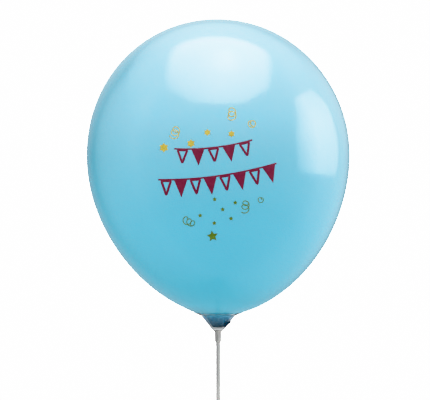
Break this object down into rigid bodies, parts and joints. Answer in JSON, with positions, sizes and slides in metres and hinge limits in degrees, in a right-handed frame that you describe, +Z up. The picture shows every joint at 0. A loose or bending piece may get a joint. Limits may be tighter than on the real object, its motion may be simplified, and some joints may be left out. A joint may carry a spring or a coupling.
{
  "type": "latex balloon on a stick",
  "caption": "Air-filled latex party balloon with a printed front, its neck gathered and hooked into a slitted clear plastic cup, pushed on a hollow plastic stick.",
  "frame": {"origin": "centre of the stick's lower end, where a hand, stand or weight holds it", "axes": "+Z up along the stick to the balloon's crown, -Y towards the balloon's printed side, +X to the right of someone who looks at the print"},
  "size_m": [0.2752, 0.2752, 0.7248],
  "materials": {
    "latex": "gloss",
    "neck_latex": "satin",
    "lip_latex": "satin",
    "clear_plastic": "gloss",
    "white_plastic": "satin"
  },
  "bodies": {
    "stick": {"stick": "white_plastic"},
    "balloon_head": {"cup": "clear_plastic", "balloon_skin": "latex", "balloon_neck": "neck_latex", "neck_lip": "lip_latex"}
  },
  "joints": [
    {"name": "cup_on_stick", "type": "slide", "parent": "stick", "child": "balloon_head", "axis": [0, 0, 1], "range_m": [0, 0.03]}
  ]
}
